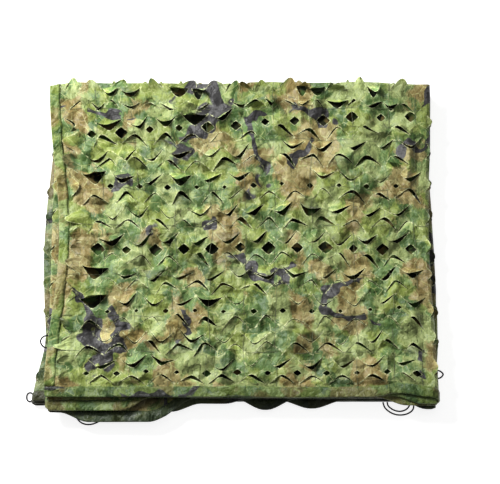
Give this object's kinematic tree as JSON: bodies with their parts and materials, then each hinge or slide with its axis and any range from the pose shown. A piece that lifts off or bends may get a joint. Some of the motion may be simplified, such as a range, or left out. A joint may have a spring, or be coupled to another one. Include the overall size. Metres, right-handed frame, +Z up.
{
  "type": "folded camouflage net",
  "caption": "Leaf-cut camouflage net folded back and forth into a flat rectangular pack, with bound hems and fastening cord loops, lying on a surface.",
  "frame": {"origin": "centre of the pack's outline at its underside, measured without the cord loops", "axes": "+X to the right along the folded runs, from the free end of the top run; +Y to the back, where the doubled edge lies; +Z up"},
  "size_m": [0.6336, 0.5363, 0.0486],
  "materials": {
    "leaf_cloth": "thin woven cloth printed in woodland colours, with a slight sheen",
    "binding_tape": "strip of the same printed cloth, folded over the edge and stitched",
    "loop_cord": "black braided cord"
  },
  "bodies": {
    "root": {"net_cloth": "leaf_cloth", "binding_hem_upper": "binding_tape", "binding_hem_lower": "binding_tape", "binding_end_top": "binding_tape", "binding_end_bottom": "binding_tape", "loop_front_left": "loop_cord", "loop_front_right_outer": "loop_cord", "loop_front_right_inner": "loop_cord", "loop_left": "loop_cord", "loop_right": "loop_cord", "loop_corner": "loop_cord"}
  },
  "joints": []
}
